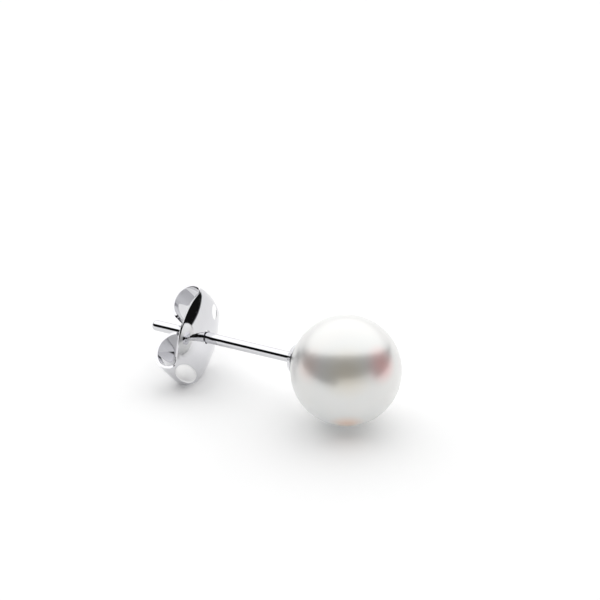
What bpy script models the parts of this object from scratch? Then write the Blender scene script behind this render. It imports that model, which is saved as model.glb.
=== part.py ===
"""A pearl stud earring with its butterfly back, lying as it was put down.

Units are metres and +Z is up. The stud lies along X on its pearl and on the rim of the back: the pearl
is at +X and the tip of the post at -X. The stud frame, an empty at the pearl's centre, has +Z along the
post towards its tip, +X up and +Y level. The back's own frame has +X along its strip and +Z through its
hole, and leans a little on the post.
"""

from math import asin, atan2, cos, hypot, pi, radians, sin, sqrt

import bmesh
import bpy
from mathutils import Vector

# Pearl, half-drilled for the peg
PEARL_RADIUS = 0.0040
DRILL_DEPTH = 0.0050
GLUE_GAP = 0.00005

# Post, with its peg and cup in one soldered piece
POST_RADIUS = 0.00040
POST_LENGTH = 0.0116
TIP_ROUNDING = 0.00025
PEG_RADIUS = 0.00035
PEG_DEPTH = 0.0046
PEG_CHAMFER = 0.00010
CUP_RADIUS = 0.00125
CUP_SEAT_RADIUS = 0.00095
CUP_WALL = 0.00020
CUP_RIM = 0.00008
CUP_FILLET = 0.00015

# Butterfly back, one strip of sheet with a domed plate and two curled wings
SHEET = 0.00020
PLATE_HALF_WIDTH = 0.00281
FAR_SIDE = 1.41
PLATE_SIDE_RADIUS = 0.00426
PLATE_BEND_RADIUS = 0.0077
PLATE_CROWN_RADIUS = 0.0060
CROWN_FADE = 1.22
FOLD_START = 0.00261
FOLD_RADIUS = 0.0011
FOLD_END_ANGLE = radians(131)
LEAF_RADIUS = 0.00148
WING_HALF_WIDTH = 0.00137
WING_ROOT_BLEND = 0.0005
WING_CORNER = 0.00035
HOLE_CLEARANCE = 0.00010
PUNCH_DEPTH = 0.0008
GRIP_CLEARANCE = 0.00006

# The back's place on the post: its distance from the pearl, its turn about the post and its lean
BACK_DISTANCE = 0.00730
BACK_TURN = radians(54)
BACK_LEAN = radians(5.2)
BACK_PITCH = radians(2.3)

# Facets
TURN_STEPS = 40
PEARL_ARC_STEPS = 20
FILLET_STEPS = 4
PLATE_STEPS = 11
FOLD_STEPS = 12
LEAF_STEPS = 9
ACROSS_STEPS = 12

MERGE = 1e-7
POST_END = PEARL_RADIUS + POST_LENGTH


def clear_scene():
    for thing in list(bpy.data.objects):
        bpy.data.objects.remove(thing)


def new_collection(name):
    collection = bpy.data.collections.new(name)
    bpy.context.scene.collection.children.link(collection)
    return collection


def new_material(name, color, roughness, metallic):
    material = bpy.data.materials.new(name)
    material.use_nodes = True
    shader = material.node_tree.nodes["Principled BSDF"]
    shader.inputs["Base Color"].default_value = (*color, 1)
    shader.inputs["Roughness"].default_value = roughness
    shader.inputs["Metallic"].default_value = metallic
    return material


def new_object(name, mesh, collection, material=None):
    piece = bpy.data.objects.new(name, mesh)
    collection.objects.link(piece)
    if material:
        mesh.materials.append(material)
    return piece


def new_empty(name, collection, parent=None):
    empty = bpy.data.objects.new(name, None)
    empty.empty_display_size = PEARL_RADIUS
    empty.parent = parent
    collection.objects.link(empty)
    return empty


def arc(centre, radius, start, end, steps):
    """Points (x, z) on an arc, with the angles measured from +X towards +Z."""
    turn = (end - start) / steps
    return [
        (centre[0] + radius * cos(start + i * turn), centre[1] + radius * sin(start + i * turn))
        for i in range(steps + 1)
    ]


def turned(name, profile, collection, material):
    """A solid turned about Z from (radius, z) points that run down its outer side."""
    shape = bmesh.new()
    corners = [shape.verts.new((radius, 0, z)) for radius, z in profile]
    for first, second in zip(corners, corners[1:]):
        shape.edges.new((first, second))
    mesh = bpy.data.meshes.new(name)
    shape.to_mesh(mesh)
    shape.free()
    piece = new_object(name, mesh, collection, material)
    screw = piece.modifiers.new("turn", "SCREW")
    screw.steps = screw.render_steps = TURN_STEPS
    screw.use_merge_vertices = True
    screw.merge_threshold = MERGE
    screw.use_smooth_shade = True
    return piece


def build_pearl(collection, material):
    """A round pearl, half-drilled from the post's side."""
    drill_radius = PEG_RADIUS + GLUE_GAP
    mouth = asin(drill_radius / PEARL_RADIUS)
    profile = [(0, PEARL_RADIUS - DRILL_DEPTH), (drill_radius, PEARL_RADIUS - DRILL_DEPTH)]
    profile += arc((0, 0), PEARL_RADIUS, pi / 2 - mouth, -pi / 2, PEARL_ARC_STEPS)
    profile[-1] = (0, -PEARL_RADIUS)
    return turned("pearl", profile, collection, material)


def build_ear_post(collection, material):
    """The post, the shallow cup that seats the pearl and the peg glued into it, as one solid."""
    seat = PEARL_RADIUS + GLUE_GAP
    cup_back = seat + CUP_WALL
    tip_arc = arc(
        (POST_RADIUS - TIP_ROUNDING, POST_END - TIP_ROUNDING), TIP_ROUNDING, pi / 2, 0, FILLET_STEPS
    )
    fillet = arc(
        (POST_RADIUS + CUP_FILLET, cup_back + CUP_FILLET), CUP_FILLET, pi, 3 * pi / 2, FILLET_STEPS
    )
    cup_inside = arc(
        (0, 0), seat, pi / 2 - asin(CUP_RADIUS / seat), pi / 2 - asin(PEG_RADIUS / seat), FILLET_STEPS
    )
    profile = [(0, POST_END), *tip_arc, *fillet]
    profile += [(CUP_SEAT_RADIUS, cup_back), (CUP_RADIUS, cup_inside[0][1] + CUP_RIM), *cup_inside]
    peg_end = PEARL_RADIUS - PEG_DEPTH
    profile += [(PEG_RADIUS, peg_end + PEG_CHAMFER), (PEG_RADIUS - PEG_CHAMFER, peg_end), (0, peg_end)]
    return turned("ear_post", profile, collection, material)


class StripPath:
    """The middle line of one wing's half of the strip, seen from its edge. The side is 1 at +X, -1 at -X.

    Lengths run along the sheet from the hole. Points are (along the plate, back from the plate), and the
    angle is the sheet's turn from the plate's direction. Three arcs follow each other: the bent plate,
    the tight fold at its end, and the leaf that comes back to the post, which slants as the back leans.
    """

    def __init__(self, side):
        plate_turn = asin(FOLD_START / PLATE_BEND_RADIUS)
        bends = ((PLATE_BEND_RADIUS, plate_turn), (FOLD_RADIUS, FOLD_END_ANGLE))
        self.arcs = []
        point, angle, length = (0, 0), 0, 0
        for radius, end in bends:
            point, angle, length = self.add(point, angle, length, radius, end)
        slant = side * BACK_PITCH
        along, back = point[0] - LEAF_RADIUS * sin(angle), point[1] + LEAF_RADIUS * cos(angle)
        reach = along * cos(slant) - back * sin(slant) - POST_RADIUS - GRIP_CLEARANCE - SHEET / 2
        self.add(point, angle, length, LEAF_RADIUS, pi + asin(reach / LEAF_RADIUS) - slant)
        self.fold_length = self.arcs[0][3]
        self.leaf_length = self.arcs[1][3]
        self.length = self.arcs[2][3]

    def add(self, point, angle, length, radius, end):
        centre = (point[0] - radius * sin(angle), point[1] + radius * cos(angle))
        stop = length + radius * (end - angle)
        self.arcs.append((centre, radius, angle, stop))
        return (centre[0] + radius * sin(end), centre[1] - radius * cos(end)), end, stop

    def at(self, length):
        start = 0
        for centre, radius, angle, stop in self.arcs:
            if length <= stop or stop == self.length:
                break
            start = stop
        angle += (length - start) / radius
        return centre[0] + radius * sin(angle), centre[1] - radius * cos(angle), angle

    def stations(self):
        """Lengths from the hole to the free end, close together where the sheet bends most."""
        stops = ((self.fold_length, PLATE_STEPS), (self.leaf_length, FOLD_STEPS), (self.length, LEAF_STEPS))
        found, start = [0], 0
        for stop, steps in stops:
            found += [start + (stop - start) * (i + 1) / steps for i in range(steps)]
            start = stop
        return found


def smooth_max(a, b, blend):
    """The larger of two lengths, with the corner between them rounded over the blend."""
    mix = max(0, min(1, 0.5 + (a - b) / (2 * blend)))
    return b + (a - b) * mix + blend * mix * (1 - mix)


def half_width(length, path):
    """Half the flat strip's width: the plate with its bowed sides, then a wing with rounded corners."""
    bow = PLATE_SIDE_RADIUS - sqrt(max(0, PLATE_SIDE_RADIUS**2 - length**2))
    plate = PLATE_HALF_WIDTH - bow
    corner = max(0, length - path.length + WING_CORNER)
    wing = WING_HALF_WIDTH - WING_CORNER + sqrt(WING_CORNER**2 - min(corner, WING_CORNER) ** 2)
    return smooth_max(plate, wing, WING_ROOT_BLEND)


def bent_point(side, length, share, path):
    """Where a point of the flat strip lies once the strip is bent; the share runs across its width.

    The hole is off the strip's middle: the far side is FAR_SIDE times as wide as the near one.
    The crown across the strip fades out from where the fold starts, over CROWN_FADE times its length.
    """
    across = share * half_width(length, path) * (FAR_SIDE if share > 0 else 1)
    along, back, angle = path.at(length)
    past_fold = (length - path.fold_length) / (path.leaf_length - path.fold_length)
    crown_bend = (1 - max(0, min(1, past_fold / CROWN_FADE))) / PLATE_CROWN_RADIUS
    crown = 0
    if crown_bend:
        turn = across * crown_bend
        crown, across = (1 - cos(turn)) / crown_bend, sin(turn) / crown_bend
    return side * (along - crown * sin(angle)), across, back + crown * cos(angle)


def build_butterfly_back(collection, cutters, material):
    """One strip of sheet: a crowned plate whose two wings curl back to grip the post."""
    paths = {side: StripPath(side) for side in (1, -1)}
    rows = [(-1, length) for length in reversed(paths[-1].stations()[1:])]
    rows += [(1, length) for length in paths[1].stations()]
    shape = bmesh.new()
    bmesh.ops.create_grid(shape, x_segments=len(rows) - 1, y_segments=ACROSS_STEPS, size=1)
    for vert in shape.verts:
        side, length = rows[round((vert.co.x + 1) / 2 * (len(rows) - 1))]
        vert.co = bent_point(side, length, vert.co.y, paths[side])
    mesh = bpy.data.meshes.new("butterfly_back")
    shape.to_mesh(mesh)
    shape.free()
    back = new_object("butterfly_back", mesh, collection, material)
    thickness = back.modifiers.new("sheet", "SOLIDIFY")
    thickness.thickness = SHEET
    thickness.offset = 0
    thickness.use_even_offset = True
    back.modifiers.new("flat facets", "TRIANGULATE")
    punch = back.modifiers.new("post hole", "BOOLEAN")
    punch.operation = "DIFFERENCE"
    punch.solver = "EXACT"
    punch.object = hole_cutter(cutters, back)
    mesh.shade_smooth()
    return back


def hole_cutter(cutters, parent):
    """A punch for the post's hole, which stops short of the leaves behind the plate."""
    shape = bmesh.new()
    radius = POST_RADIUS + HOLE_CLEARANCE
    bmesh.ops.create_cone(
        shape, cap_ends=True, segments=TURN_STEPS, radius1=radius, radius2=radius, depth=PUNCH_DEPTH
    )
    mesh = bpy.data.meshes.new("post_hole_cutter")
    shape.to_mesh(mesh)
    shape.free()
    cutter = new_object("post_hole_cutter", mesh, cutters)
    cutter.parent = parent
    cutter.hide_render = True
    cutter.display_type = "WIRE"
    return cutter


def evaluated_corners(piece):
    """A piece's corners in its own frame, with its modifiers applied."""
    mesh = piece.evaluated_get(bpy.context.evaluated_depsgraph_get()).to_mesh()
    return [Vector(vert.co) for vert in mesh.vertices]


def resting_tilt(back, place):
    """The post's dip towards its tip when the pearl and the back both touch the surface.

    In the stud's frame a corner of the back lies some way along the post and some way below it, and
    meets the surface at a certain tilt. The first corner to meet it decides.
    """
    tilts = []
    for corner in evaluated_corners(back):
        height, _, ahead = place @ corner
        if height < 0:
            tilts.append(asin(PEARL_RADIUS / hypot(ahead, height)) - atan2(-height, ahead))
    return min(tilts)


def lay_down(stud, tilt):
    """Set the stud along X with its box centred on the origin."""
    tip_centre = POST_END - TIP_ROUNDING
    reach = tip_centre * cos(tilt) + TIP_ROUNDING + (POST_RADIUS - TIP_ROUNDING) * sin(tilt)
    stud.location = ((reach - PEARL_RADIUS) / 2, 0, PEARL_RADIUS)
    stud.rotation_euler = (0, -(pi / 2 + tilt), 0)


def main():
    clear_scene()
    earring = new_collection("pearl_stud_earring")
    cutters = new_collection("cutters")
    nacre = new_material("pearl_nacre", (0.87, 0.86, 0.83), 0.22, 0)
    post_metal = new_material("post_white_gold", (0.82, 0.82, 0.83), 0.06, 1)
    back_metal = new_material("back_white_gold", (0.84, 0.84, 0.85), 0.05, 1)

    stud = new_empty("stud_frame", earring)
    slide = new_empty("clasp_slide", earring, stud)
    slide.location = (0, 0, PEARL_RADIUS + BACK_DISTANCE)
    slide.rotation_mode = "YXZ"
    slide.rotation_euler = (-BACK_LEAN, -BACK_PITCH, BACK_TURN)

    pearl = build_pearl(earring, nacre)
    post = build_ear_post(earring, post_metal)
    back = build_butterfly_back(earring, cutters, back_metal)
    lay_down(stud, resting_tilt(back, slide.matrix_basis))
    pearl.parent = stud
    post.parent = stud
    back.parent = slide
    bpy.context.view_layer.update()


main()
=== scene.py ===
"""A pearl stud earring with its butterfly back, lying on a white studio sweep.

The stud's own frame has its origin at the pearl's centre, +Z along the post towards its tip, +X up and +Y
level. The back's frame sits on the post behind the pearl, turned on it and leaning a little, with +X along
its strip and +Z through its hole, away from the pearl.
"""

from math import asin, cos, pi, radians, sin, sqrt

import bmesh
import bpy
from mathutils import Matrix, Vector


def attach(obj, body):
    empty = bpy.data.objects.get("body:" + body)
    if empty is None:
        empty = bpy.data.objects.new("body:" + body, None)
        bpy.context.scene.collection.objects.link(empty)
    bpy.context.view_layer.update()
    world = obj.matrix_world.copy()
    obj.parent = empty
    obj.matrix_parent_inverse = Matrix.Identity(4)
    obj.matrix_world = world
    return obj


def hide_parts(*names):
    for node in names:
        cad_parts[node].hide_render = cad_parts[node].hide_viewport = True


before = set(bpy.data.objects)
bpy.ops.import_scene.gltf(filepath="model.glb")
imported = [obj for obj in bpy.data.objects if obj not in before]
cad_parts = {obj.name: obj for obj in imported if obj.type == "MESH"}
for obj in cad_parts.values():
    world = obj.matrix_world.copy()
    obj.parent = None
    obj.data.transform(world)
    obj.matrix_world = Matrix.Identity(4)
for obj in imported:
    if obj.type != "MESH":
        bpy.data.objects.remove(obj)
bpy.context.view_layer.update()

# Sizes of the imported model, in metres
PEARL_RADIUS = 0.0040
DRILL_RADIUS = 0.00040
DRILL_DEPTH = 0.0050
GLUE_GAP = 0.00005
POST_RADIUS = 0.00040
POST_LENGTH = 0.0116
TIP_ROUNDING = 0.00025
PEG_RADIUS = 0.00035
PEG_DEPTH = 0.0046
CUP_RADIUS = 0.00125
CUP_WALL = 0.00020
CUP_FILLET = 0.00015
SHEET = 0.00020
PLATE_HALF_WIDTH = 0.00281
FAR_SIDE = 1.41
PLATE_SIDE_RADIUS = 0.00426
PLATE_BEND_RADIUS = 0.0077
PLATE_CROWN_RADIUS = 0.0060
CROWN_FADE = 1.22
FOLD_START = 0.00261
FOLD_RADIUS = 0.0011
FOLD_END_ANGLE = radians(131)
LEAF_RADIUS = 0.00148
WING_HALF_WIDTH = 0.00137
WING_ROOT_BLEND = 0.0005
WING_CORNER = 0.00035
HOLE_CLEARANCE = 0.00010
GRIP_CLEARANCE = 0.00006

# Shallow bare dimples pressed into the front of the flat strip: centre, reach each way and depth
DIMPLES = (
    (Vector((0.0022, 0.00045, 0)), Vector((0.00060, 0.00050, 0.001)), 0.00003),
    (Vector((-0.0031, 0.00030, 0)), Vector((0.00068, 0.00155, 0.001)), 0.00010),
)
DIMPLE_WALL = 0.00008

# The cup as polished: the flat of its back, and its rounded rim
CUP_FLAT_RADIUS = 0.000975
CUP_RIM_RADIUS = 0.00005
CUP_RIM_STEPS = 6

# The back's place on the post
BACK_DISTANCE = 0.00730
BACK_TURN = radians(54)
BACK_LEAN = radians(5.2)
BACK_PITCH = radians(2.3)

# Where the stud lies
PEARL_CENTRE = Vector((0.0057992, 0, PEARL_RADIUS))
POST_DIP = radians(1.56455)
STUD_FRAME = Matrix.Translation(PEARL_CENTRE) @ Matrix.Rotation(-pi / 2 - POST_DIP, 4, "Y")
BACK_SEAT = Matrix.Translation((0, 0, PEARL_RADIUS + BACK_DISTANCE)) @ Matrix.Rotation(BACK_TURN, 4, "Z")
BACK_SLANT = Matrix.Rotation(-BACK_LEAN, 4, "X") @ Matrix.Rotation(-BACK_PITCH, 4, "Y")
BACK_FRAME = STUD_FRAME @ BACK_SEAT @ BACK_SLANT

# Fineness of the meshes
PEARL_SEGMENTS = 144
POST_SEGMENTS = 96
ROUNDING_SEGMENTS = 5
PLATE_ROWS = 36
FOLD_ROWS = 34
LEAF_ROWS = 34
ACROSS_ROWS = 56
WALL_RINGS = 8
FLOOR_RINGS = 12
HOLE_RINGS = (1.2, 1)
BLOCK_MARGIN = 1.12
EDGE_ROUNDING = 0.00004
EDGE_SEGMENTS = 3
EDGE_ANGLE = radians(60)
MERGE = 1e-7

# Camera, at the photograph's angle and frame
VIEW_AZIMUTH = radians(26.7)
VIEW_ELEVATION = radians(33)
VIEW_ROLL = radians(0.85)
CAMERA_DISTANCE = 0.280
FRAME_WIDTH = 0.600 / 14
SENSOR_WIDTH = 36
CLIP_NEAR = CAMERA_DISTANCE / 20
CLIP_FAR = 20
PEARL_RIGHT_OF_MIDDLE = 0.00329
PEARL_BELOW_MIDDLE = 0.00504

# White surface that the earring lies on, with a weak glow of its own
SWEEP_HALF_SIZE = 2
SWEEP_TONES = [(0.2, (0.92, 0.92, 0.92)), (0.8, (0.94, 0.94, 0.94))]
SWEEP_GLOW = 0.16

# Studio: a panel behind, dimmer towards the ground, a dark room, a low card in front and a white ground.
# Edges are ranges of the cosine from the panel's or the card's middle, heights of the direction's rise.
PANEL_ELEVATION = radians(53)
PANEL_EDGE = (cos(radians(65)), cos(radians(61)))
PANEL_FADE_HEIGHTS = (0.05, 0.45)
PANEL_LOW_LIGHT = (0.95, 0.95, 0.96, 1)
PANEL_HIGH_LIGHT = (1.48, 1.48, 1.48, 1)
ROOM_LIGHT = (0.008, 0.008, 0.008, 1)
CARD_TURN = radians(20)
CARD_EDGE = (0.72, 0.82)
CARD_TOP_HEIGHTS = (0.24, 0.32)
CARD_LIGHT = (0.80, 0.80, 0.81, 1)
GROUND_HEIGHTS = (-0.02, 0.03)
GROUND_LIGHT = (1.02, 1.02, 1.03, 1)

# Tones of the metal, from its darker to its lighter haze, and a painted highlight in the dimples: the metal's
# colour there is raised near white to stand for a bright reflection
GOLD_TONES = [(0.3, (0.67, 0.67, 0.69)), (0.7, (0.69, 0.69, 0.71))]
DIMPLE_PAINTED_HIGHLIGHT = (0.97, 0.97, 0.97, 1)
DIMPLE_HIGHLIGHT_EDGE = (0.92, 1.0)

# Tones of the nacre's clouds, and painted patches fixed on the pearl: a warm one where the dark reflected
# band lies, rosy ones painted as the sheen at the band's two ends, and a peach one painted as the warm glow
# low on its front: their way out from the centre, reach and colour
NACRE_TONES = [(0.30, (0.87, 0.86, 0.84)), (0.55, (0.86, 0.865, 0.85)), (0.75, (0.85, 0.865, 0.86))]
PAINTED_SHEEN_PATCHES = (
    (Vector((0.385, -0.766, 0.515)), 0.0024, (0.88, 0.83, 0.72, 1)),
    (Vector((0.823, -0.241, 0.515)), 0.0017, (1.0, 0.66, 0.64, 1)),
    (Vector((-0.360, -0.797, 0.485)), 0.0016, (0.88, 0.77, 0.73, 1)),
    (Vector((0.358, -0.711, -0.605)), 0.0015, (0.90, 0.70, 0.59, 1)),
)


class Tied:
    """A node's output. Arithmetic on it adds Math nodes to its tree."""

    def __init__(self, nodes, socket):
        self.nodes = nodes
        self.socket = socket

    def __add__(self, other):
        return self.nodes.math("ADD", self, other)

    def __sub__(self, other):
        return self.nodes.math("SUBTRACT", self, other)

    def __rsub__(self, other):
        return self.nodes.math("SUBTRACT", other, self)

    def __mul__(self, other):
        return self.nodes.math("MULTIPLY", self, other)

    __radd__ = __add__
    __rmul__ = __mul__


class Nodes:
    """Adds nodes to one material's or world's tree."""

    def __init__(self, tree):
        self.tree = tree

    def link(self, value, socket):
        if isinstance(value, Tied):
            self.tree.links.new(value.socket, socket)
        else:
            socket.default_value = value

    def node(self, kind, settings=None, output=0, **inputs):
        """Add a node: its settings first, then its sockets, by name or by number as in _0."""
        made = self.tree.nodes.new("ShaderNode" + kind)
        for name, value in (settings or {}).items():
            if name == "stops":
                self.set_stops(made.color_ramp, value)
            else:
                setattr(made, name, value)
        for name, value in inputs.items():
            key = int(name[1:]) if name[1:].isdigit() else name.replace("_", " ")
            self.link(value, made.inputs[key])
        return Tied(self, made.outputs[output])

    def set_stops(self, ramp, stops):
        while len(ramp.elements) < len(stops):
            ramp.elements.new(1)
        for element, (position, color) in zip(ramp.elements, stops):
            element.position = position
            element.color = (*color, 1)

    def math(self, operation, first, second):
        return self.node("Math", {"operation": operation}, _0=first, _1=second)

    def step(self, value, start, end):
        """A smooth rise from 0 to 1 as the value goes from start to end."""
        settings = {"interpolation_type": "SMOOTHSTEP"}
        return self.node("MapRange", settings, Value=value, From_Min=start, From_Max=end)

    def mix(self, factor, first, second):
        """A colour between the first and the second."""
        settings = {"data_type": "RGBA"}
        return self.node("Mix", settings, 2, _0=factor, _6=first, _7=second)


def new_finish(name, **constants):
    """A material with the constants set on its shader's sockets, and its nodes."""
    material = bpy.data.materials.new(name)
    material.use_nodes = True
    shader = material.node_tree.nodes["Principled BSDF"]
    for socket, value in constants.items():
        shader.inputs[socket.replace("_", " ")].default_value = value
    return material, Nodes(material.node_tree), shader


def polished_gold(name, along, wave_height, dimples=()):
    """Rhodium-bright white gold: a mirror polish with faint hairlines, and a painted highlight in the
    dimples, where its colour is made brighter.
    """
    material, nodes, shader = new_finish(name, Metallic=1.0)
    place = nodes.node("TexCoord", output="Object")
    grain = nodes.node("Mapping", Vector=place, Scale=tuple(1.0 if a else 22.0 for a in along))
    hairlines = nodes.node("TexNoise", output="Fac", Vector=grain, Scale=900.0, Detail=3.0)
    waves = nodes.node("TexNoise", output="Fac", Vector=place, Scale=420.0, Detail=1.0)
    haze = nodes.node("TexNoise", output="Fac", Vector=place, Scale=700.0, Detail=4.0)
    tone = nodes.node("ValToRGB", {"stops": GOLD_TONES}, Fac=haze)
    # Painted highlight: inside each dimple the metal's colour is mixed up towards near white.
    for centre, turn, size in dimples:
        own = {"vector_type": "TEXTURE"}
        spot = nodes.node("Mapping", own, Vector=place, Location=centre, Rotation=turn, Scale=size)
        reach = nodes.node("VectorMath", {"operation": "LENGTH"}, "Value", _0=spot)
        tone = nodes.mix(1 - nodes.step(reach, *DIMPLE_HIGHLIGHT_EDGE), tone, DIMPLE_PAINTED_HIGHLIGHT)
    nodes.link(tone, shader.inputs["Base Color"])
    nodes.link(0.02 + haze * 0.035 + hairlines * 0.015, shader.inputs["Roughness"])
    height = waves + hairlines * 0.03
    bump = nodes.node("Bump", Strength=1.0, Distance=wave_height, Height=height)
    nodes.link(bump, shader.inputs["Normal"])
    return material


def pearl_nacre():
    """Nacre: a soft bright lustre over a creamy body, with its overtone sheen and glow painted in as faint
    patches.
    """
    material, nodes, shader = new_finish(
        "pearl_nacre", Metallic=0.45, Coat_Roughness=0.12, Coat_IOR=1.5, Coat_Weight=0.15
    )
    place = nodes.node("TexCoord", output="Object")
    clouds = nodes.node("TexNoise", output="Fac", Vector=place, Scale=260.0, Detail=2.0)
    grain = nodes.node("TexNoise", output="Fac", Vector=place, Scale=9000.0, Detail=3.0)
    tone = nodes.node("ValToRGB", {"stops": NACRE_TONES}, Fac=clouds)
    # Painted sheen and glow: each patch tints the nacre's colour at a fixed place on the pearl.
    for way, reach, color in PAINTED_SHEEN_PATCHES:
        centre = PEARL_CENTRE + way * PEARL_RADIUS
        away = nodes.node("VectorMath", {"operation": "DISTANCE"}, "Value", _0=place, _1=centre)
        tone = nodes.mix(1 - nodes.step(away, 0.0, reach), tone, color)
    nodes.link(tone, shader.inputs["Base Color"])
    nodes.link(0.27 + grain * 0.03, shader.inputs["Roughness"])
    bump = nodes.node("Bump", Strength=0.2, Distance=0.000001, Height=grain)
    nodes.link(bump, shader.inputs["Normal"])
    return material


def finish_piece(name, shape, place, material, body, node):
    """Make a shape a piece of the object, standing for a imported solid."""
    mesh = bpy.data.meshes.new(name)
    shape.to_mesh(mesh)
    shape.free()
    mesh.transform(place)
    mesh.shade_smooth()
    mesh.materials.append(material)
    piece = bpy.data.objects.new(name, mesh)
    bpy.context.scene.collection.objects.link(piece)
    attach(piece, body)
    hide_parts(node)
    return piece


def arc(centre, radius, start, end, steps):
    """Points (x, z) on an arc, with the angles measured from +X towards +Z."""
    turn = (end - start) / steps
    return [
        (centre[0] + radius * cos(start + i * turn), centre[1] + radius * sin(start + i * turn))
        for i in range(steps + 1)
    ]


def shape_pearl():
    """A ball with the drilled hole on the post's side."""
    shape = bmesh.new()
    bmesh.ops.create_uvsphere(
        shape, u_segments=PEARL_SEGMENTS, v_segments=PEARL_SEGMENTS // 2, radius=PEARL_RADIUS
    )
    mouth = sqrt(PEARL_RADIUS**2 - DRILL_RADIUS**2)
    bmesh.ops.bisect_plane(
        shape,
        geom=shape.verts[:] + shape.edges[:] + shape.faces[:],
        plane_co=(0, 0, mouth),
        plane_no=(0, 0, 1),
        clear_outer=True,
    )
    rim = [edge for edge in shape.edges if edge.is_boundary]
    wall = bmesh.ops.extrude_edge_only(shape, edges=rim)["geom"]
    deep = [item for item in wall if isinstance(item, bmesh.types.BMVert)]
    bmesh.ops.translate(shape, verts=deep, vec=(0, 0, PEARL_RADIUS - DRILL_DEPTH - mouth))
    bmesh.ops.holes_fill(shape, edges=[edge for edge in shape.edges if edge.is_boundary])
    bmesh.ops.bevel(
        shape,
        geom=rim,
        offset=EDGE_ROUNDING,
        offset_type="OFFSET",
        segments=EDGE_SEGMENTS,
        profile=0.5,
        affect="EDGES",
        material=-1,
    )
    bmesh.ops.recalc_face_normals(shape, faces=shape.faces)
    return shape


def shape_post():
    """The post, the thin cup and the peg, spun from one profile with rounded corners."""
    post_end = PEARL_RADIUS + POST_LENGTH
    seat = PEARL_RADIUS + GLUE_GAP
    cup_back = seat + CUP_WALL
    tip = arc(
        (POST_RADIUS - TIP_ROUNDING, post_end - TIP_ROUNDING), TIP_ROUNDING, pi / 2, 0, ROUNDING_SEGMENTS
    )
    fillet = arc(
        (POST_RADIUS + CUP_FILLET, cup_back + CUP_FILLET), CUP_FILLET, pi, 3 * pi / 2, ROUNDING_SEGMENTS
    )
    inside = arc(
        (0, 0), seat, pi / 2 - asin(CUP_RADIUS / seat), pi / 2 - asin(PEG_RADIUS / seat), ROUNDING_SEGMENTS
    )
    rim_centre = (inside[0][0] - CUP_RIM_RADIUS, inside[0][1] + CUP_RIM_RADIUS)
    rim = arc(rim_centre, CUP_RIM_RADIUS, pi / 2, -pi / 2, CUP_RIM_STEPS)
    peg_end = PEARL_RADIUS - PEG_DEPTH
    profile = [(0, post_end), *tip, *fillet, (CUP_FLAT_RADIUS, cup_back), *rim, *inside[1:]]
    profile += [(PEG_RADIUS, peg_end), (0, peg_end)]
    shape = bmesh.new()
    corners = [shape.verts.new((radius, 0, z)) for radius, z in profile]
    line = [shape.edges.new(pair) for pair in zip(corners, corners[1:])]
    bmesh.ops.spin(
        shape,
        geom=corners + line,
        axis=(0, 0, 1),
        cent=(0, 0, 0),
        angle=2 * pi,
        steps=POST_SEGMENTS,
        use_merge=True,
    )
    bmesh.ops.remove_doubles(shape, verts=shape.verts, dist=MERGE)
    bmesh.ops.recalc_face_normals(shape, faces=shape.faces)
    return shape


class StripPath:
    """The middle line of one wing's half of the strip, seen from its edge. The side is 1 at +X, -1 at -X.

    Lengths run along the sheet from the hole. Points are (along the plate, back from the plate), and the
    angle is the sheet's turn from the plate's direction. Three arcs follow each other: the bent plate,
    the tight fold at its end, and the leaf that comes back to the post, which slants as the back leans.
    """

    def __init__(self, side):
        plate_turn = asin(FOLD_START / PLATE_BEND_RADIUS)
        bends = ((PLATE_BEND_RADIUS, plate_turn), (FOLD_RADIUS, FOLD_END_ANGLE))
        self.arcs = []
        point, angle, length = (0, 0), 0, 0
        for radius, end in bends:
            point, angle, length = self.add(point, angle, length, radius, end)
        slant = side * BACK_PITCH
        along, back = point[0] - LEAF_RADIUS * sin(angle), point[1] + LEAF_RADIUS * cos(angle)
        reach = along * cos(slant) - back * sin(slant) - POST_RADIUS - GRIP_CLEARANCE - SHEET / 2
        self.add(point, angle, length, LEAF_RADIUS, pi + asin(reach / LEAF_RADIUS) - slant)
        self.fold_length = self.arcs[0][3]
        self.leaf_length = self.arcs[1][3]
        self.length = self.arcs[2][3]

    def add(self, point, angle, length, radius, end):
        centre = (point[0] - radius * sin(angle), point[1] + radius * cos(angle))
        stop = length + radius * (end - angle)
        self.arcs.append((centre, radius, angle, stop))
        return (centre[0] + radius * sin(end), centre[1] - radius * cos(end)), end, stop

    def at(self, length):
        start = 0
        for centre, radius, angle, stop in self.arcs:
            if length <= stop or stop == self.length:
                break
            start = stop
        angle += (length - start) / radius
        return centre[0] + radius * sin(angle), centre[1] - radius * cos(angle), angle

    def rows(self):
        """Lengths from the hole to the free end, close together towards the end's rounded corners."""
        stops = ((self.fold_length, PLATE_ROWS), (self.leaf_length, FOLD_ROWS))
        found, start = [0], 0
        for stop, steps in stops:
            found += [start + (stop - start) * (i + 1) / steps for i in range(steps)]
            start = stop
        rest = self.length - start
        found += [start + rest * sin(pi / 2 * (i + 1) / LEAF_ROWS) for i in range(LEAF_ROWS)]
        return found


def smooth_max(a, b, blend):
    """The larger of two lengths, with the corner between them rounded over the blend."""
    mix = max(0, min(1, 0.5 + (a - b) / (2 * blend)))
    return b + (a - b) * mix + blend * mix * (1 - mix)


def half_width(length, path):
    """Half the flat strip's width: the plate with its bowed sides, then a wing with rounded corners."""
    bow = PLATE_SIDE_RADIUS - sqrt(max(0, PLATE_SIDE_RADIUS**2 - length**2))
    plate = PLATE_HALF_WIDTH - bow
    corner = max(0, length - path.length + WING_CORNER)
    wing = WING_HALF_WIDTH - WING_CORNER + sqrt(max(0, WING_CORNER**2 - corner**2))
    return smooth_max(plate, wing, WING_ROOT_BLEND)


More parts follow.
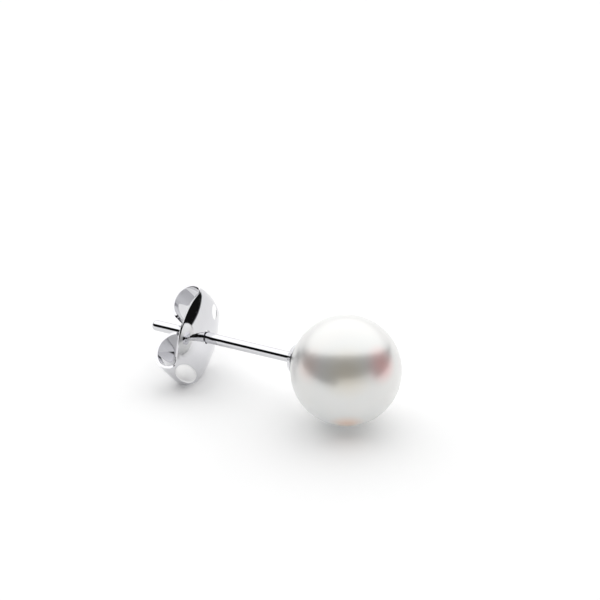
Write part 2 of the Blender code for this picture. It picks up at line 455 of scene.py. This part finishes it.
def ring_around(shape, grid, centre, size, shares):
    """Swap the grid's cells around a centre for oval rings, these shares of a size, from the outermost in."""

    def offset(vert):
        away = vert.co - centre
        return Vector((away.x / size.x, away.y / size.y, 0))

    close = [vert[grid] for vert in shape.verts if offset(vert).length < shares[0] * BLOCK_MARGIN]
    low = [min(spot[axis] for spot in close) for axis in (0, 1)]
    high = [max(spot[axis] for spot in close) for axis in (0, 1)]
    block = []
    for face in shape.faces:
        middle = sum((vert[grid] for vert in face.verts), Vector()) / len(face.verts)
        if all(low[axis] < middle[axis] < high[axis] for axis in (0, 1)):
            block.append(face)
    rim = {edge for face in block for edge in face.edges}
    bmesh.ops.delete(shape, geom=block, context="FACES")
    rim = [edge for edge in rim if edge.is_valid and edge.is_boundary]
    for share in shares:
        grown = bmesh.ops.extrude_edge_only(shape, edges=rim)["geom"]
        rim = [item for item in grown if isinstance(item, bmesh.types.BMEdge)]
        for vert in {vert for edge in rim for vert in edge.verts}:
            way = offset(vert).normalized() * share
            vert.co = centre + Vector((way.x * size.x, way.y * size.y, 0))


def cut_blank(paths):
    """The flat strip as it is stamped from sheet, with its hole. Its front is the lower side."""
    rows = [-length for length in reversed(paths[-1].rows()[1:])] + paths[1].rows()
    shape = bmesh.new()
    bmesh.ops.create_grid(shape, x_segments=len(rows) - 1, y_segments=ACROSS_ROWS, size=1)
    grid = shape.verts.layers.float_vector.new("grid")
    for vert in shape.verts:
        vert[grid] = vert.co
        along = rows[round((vert.co.x + 1) / 2 * (len(rows) - 1))]
        path = paths[-1 if along < 0 else 1]
        width = half_width(abs(along), path) * (FAR_SIDE if vert.co.y > 0 else 1)
        vert.co = (along, vert.co.y * width, 0)
    hole = POST_RADIUS + HOLE_CLEARANCE
    ring_around(shape, grid, Vector(), Vector((hole, hole, 1)), HOLE_RINGS)
    for centre, size, _ in DIMPLES:
        wall = DIMPLE_WALL / size.x
        shares = [1 - wall * i / WALL_RINGS for i in range(WALL_RINGS)]
        shares += [(1 - wall) * (1 - i / FLOOR_RINGS) for i in range(FLOOR_RINGS + 1)]
        ring_around(shape, grid, centre, size, shares)
    shape.verts.layers.float_vector.remove(grid)
    bmesh.ops.remove_doubles(shape, verts=shape.verts, dist=MERGE)
    bmesh.ops.translate(shape, verts=shape.verts, vec=(0, 0, -SHEET / 2))
    top = bmesh.ops.extrude_face_region(shape, geom=shape.faces[:], use_keep_orig=True)["geom"]
    top = [item for item in top if isinstance(item, bmesh.types.BMVert)]
    bmesh.ops.translate(shape, verts=top, vec=(0, 0, SHEET))
    return shape


def dimple_depth(point):
    """How far the sheet is pressed back at a point of the flat strip."""
    depth = 0
    for centre, size, press in DIMPLES:
        away = point - centre
        reach = sqrt((away.x / size.x) ** 2 + (away.y / size.y) ** 2)
        share = max(0, min(1, (1 - reach) * size.x / DIMPLE_WALL))
        depth += press * share * share * (3 - 2 * share)
    return depth


def bent_point(point, paths):
    """Where a point of the flat strip lies once the plate is crowned and the wings are curled."""
    side = -1 if point.x < 0 else 1
    length, across, height = abs(point.x), point.y, point.z + dimple_depth(point)
    path = paths[side]
    along, back, angle = path.at(length)
    past_fold = (length - path.fold_length) / (path.leaf_length - path.fold_length)
    crown_bend = (1 - max(0, min(1, past_fold / CROWN_FADE))) / PLATE_CROWN_RADIUS
    if crown_bend:
        turn = across * crown_bend
        arm = 1 / crown_bend - height
        across, height = arm * sin(turn), 1 / crown_bend - arm * cos(turn)
    return Vector((side * (along - height * sin(angle)), across, back + height * cos(angle)))


def dimple_places(paths):
    """Each dimple's centre on the finished back, its turn there and its reach each way, for its painted
    highlight.
    """
    places = []
    for centre, size, _ in DIMPLES:
        middle = bent_point(centre, paths)
        along = bent_point(centre + Vector((DIMPLE_WALL, 0, 0)), paths) - middle
        across = bent_point(centre + Vector((0, DIMPLE_WALL, 0)), paths) - middle
        out = along.cross(across)
        turn = Matrix([way.normalized() for way in (along, out.cross(along), out)]).transposed()
        places.append((BACK_FRAME @ middle, (BACK_FRAME.to_3x3() @ turn).to_euler(), size))
    return places


def build_back():
    """One strip of sheet: a crowned plate whose two wings curl back to grip the post."""
    paths = {side: StripPath(side) for side in (1, -1)}
    shape = cut_blank(paths)
    for vert in shape.verts:
        vert.co = bent_point(vert.co, paths)
    bmesh.ops.recalc_face_normals(shape, faces=shape.faces)
    material = polished_gold("rolled_white_gold", (0, 0, 1), 0.000002, dimple_places(paths))
    back = finish_piece(
        "curled_butterfly_sheet", shape, BACK_FRAME, material, "back", "butterfly_back"
    )
    edges = back.modifiers.new("tumbled edges", "BEVEL")
    edges.width = EDGE_ROUNDING
    edges.segments = EDGE_SEGMENTS
    edges.limit_method = "ANGLE"
    edges.angle_limit = EDGE_ANGLE


def towards(azimuth, elevation):
    """The direction at an angle to the right of the camera's side, as seen from the camera."""
    turn = VIEW_AZIMUTH + azimuth
    return Vector((sin(turn) * cos(elevation), -cos(turn) * cos(elevation), sin(elevation)))


def build_camera():
    back = towards(0, VIEW_ELEVATION)
    right = Vector((cos(VIEW_AZIMUTH), sin(VIEW_AZIMUTH), 0))
    up = back.cross(right)
    right, up = right * cos(VIEW_ROLL) - up * sin(VIEW_ROLL), up * cos(VIEW_ROLL) + right * sin(VIEW_ROLL)
    middle = PEARL_CENTRE - right * PEARL_RIGHT_OF_MIDDLE + up * PEARL_BELOW_MIDDLE
    data = bpy.data.cameras.new("camera")
    data.sensor_width = SENSOR_WIDTH
    data.lens = SENSOR_WIDTH * CAMERA_DISTANCE / FRAME_WIDTH
    data.clip_start = CLIP_NEAR
    data.clip_end = CLIP_FAR
    camera = bpy.data.objects.new("camera", data)
    camera.matrix_world = Matrix.Translation(middle + back * CAMERA_DISTANCE) @ Matrix(
        (right, up, back)
    ).transposed().to_4x4()
    bpy.context.scene.collection.objects.link(camera)
    bpy.context.scene.camera = camera


def build_sweep():
    """The white surface that the earring lies on."""
    shape = bmesh.new()
    bmesh.ops.create_grid(shape, x_segments=1, y_segments=1, size=SWEEP_HALF_SIZE)
    mesh = bpy.data.meshes.new("white_sweep")
    shape.to_mesh(mesh)
    shape.free()
    material, nodes, shader = new_finish("sweep_paper", Roughness=1.0)
    place = nodes.node("TexCoord", output="Object")
    fibres = nodes.node("TexNoise", output="Fac", Vector=place, Scale=3000.0, Detail=2.0)
    nodes.link(nodes.node("ValToRGB", {"stops": SWEEP_TONES}, Fac=fibres), shader.inputs["Base Color"])
    shader.inputs["Specular IOR Level"].default_value = 0.0
    shader.inputs["Emission Color"].default_value = (1, 1, 1, 1)
    shader.inputs["Emission Strength"].default_value = SWEEP_GLOW
    mesh.materials.append(material)
    floor = bpy.data.objects.new("white_sweep", mesh)
    bpy.context.scene.collection.objects.link(floor)


def build_studio():
    """A soft panel above and behind, a dark room with a low card at the camera's side, a white ground."""
    world = bpy.data.worlds.new("studio")
    bpy.context.scene.world = world
    world.use_nodes = True
    nodes = Nodes(world.node_tree)
    background = world.node_tree.nodes["Background"]
    direction = nodes.node("TexCoord", output="Generated")
    panel_way = towards(pi, PANEL_ELEVATION)
    facing = nodes.node(
        "VectorMath", {"operation": "DOT_PRODUCT"}, "Value", _0=direction, _1=tuple(panel_way)
    )
    panel = nodes.step(facing, *PANEL_EDGE)
    height = nodes.node("SeparateXYZ", output="Z", Vector=direction)
    ground = 1 - nodes.step(height, *GROUND_HEIGHTS)
    card_way = towards(CARD_TURN, 0)
    across = nodes.node(
        "VectorMath", {"operation": "DOT_PRODUCT"}, "Value", _0=direction, _1=tuple(card_way)
    )
    card = nodes.step(across, *CARD_EDGE) * (1 - nodes.step(height, *CARD_TOP_HEIGHTS))
    glare = nodes.mix(nodes.step(height, *PANEL_FADE_HEIGHTS), PANEL_LOW_LIGHT, PANEL_HIGH_LIGHT)
    light = nodes.mix(panel, ROOM_LIGHT, glare)
    light = nodes.mix(card, light, CARD_LIGHT)
    light = nodes.mix(ground, light, GROUND_LIGHT)
    nodes.link(light, background.inputs["Color"])


def main():
    build_camera()
    build_sweep()
    build_studio()
    nacre = pearl_nacre()
    drawn = polished_gold("drawn_white_gold", (1, 0, 0), 0.0000005)
    finish_piece("round_pearl", shape_pearl(), STUD_FRAME, nacre, "stud", "pearl")
    finish_piece("post_with_cup", shape_post(), STUD_FRAME, drawn, "stud", "ear_post")
    build_back()
    bpy.context.scene.view_settings.view_transform = "Standard"


main()
